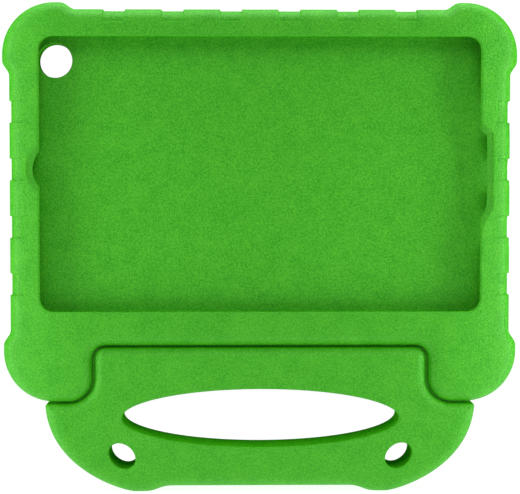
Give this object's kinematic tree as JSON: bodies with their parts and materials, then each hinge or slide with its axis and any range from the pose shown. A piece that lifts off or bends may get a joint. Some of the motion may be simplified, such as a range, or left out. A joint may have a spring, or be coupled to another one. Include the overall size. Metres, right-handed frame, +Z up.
{
  "type": "foam kids tablet case with fold-back handle",
  "caption": "Chunky green foam case with a bay behind a front lip, bumper corners, grip grooves and a handle that folds back as a stand.",
  "frame": {"origin": "on the ground under the handle's lobes, midway in width and thickness", "axes": "+X along the width, +Y to the back, +Z up from the handle to the top wall"},
  "size_m": [0.27, 0.025, 0.2573],
  "materials": {
    "green_foam": "matte moulded foam with a fine grained skin",
    "rod_steel": "drawn steel rod"
  },
  "bodies": {
    "case": {"case_body": "green_foam", "hinge_rod": "rod_steel"},
    "handle": {"handle": "green_foam"}
  },
  "joints": [
    {"name": "handle_fold", "type": "hinge", "parent": "case", "child": "handle", "pos_m": [0, 0.0065, 0.0705], "axis": [1, 0, 0], "range_deg": [0, 105]}
  ]
}
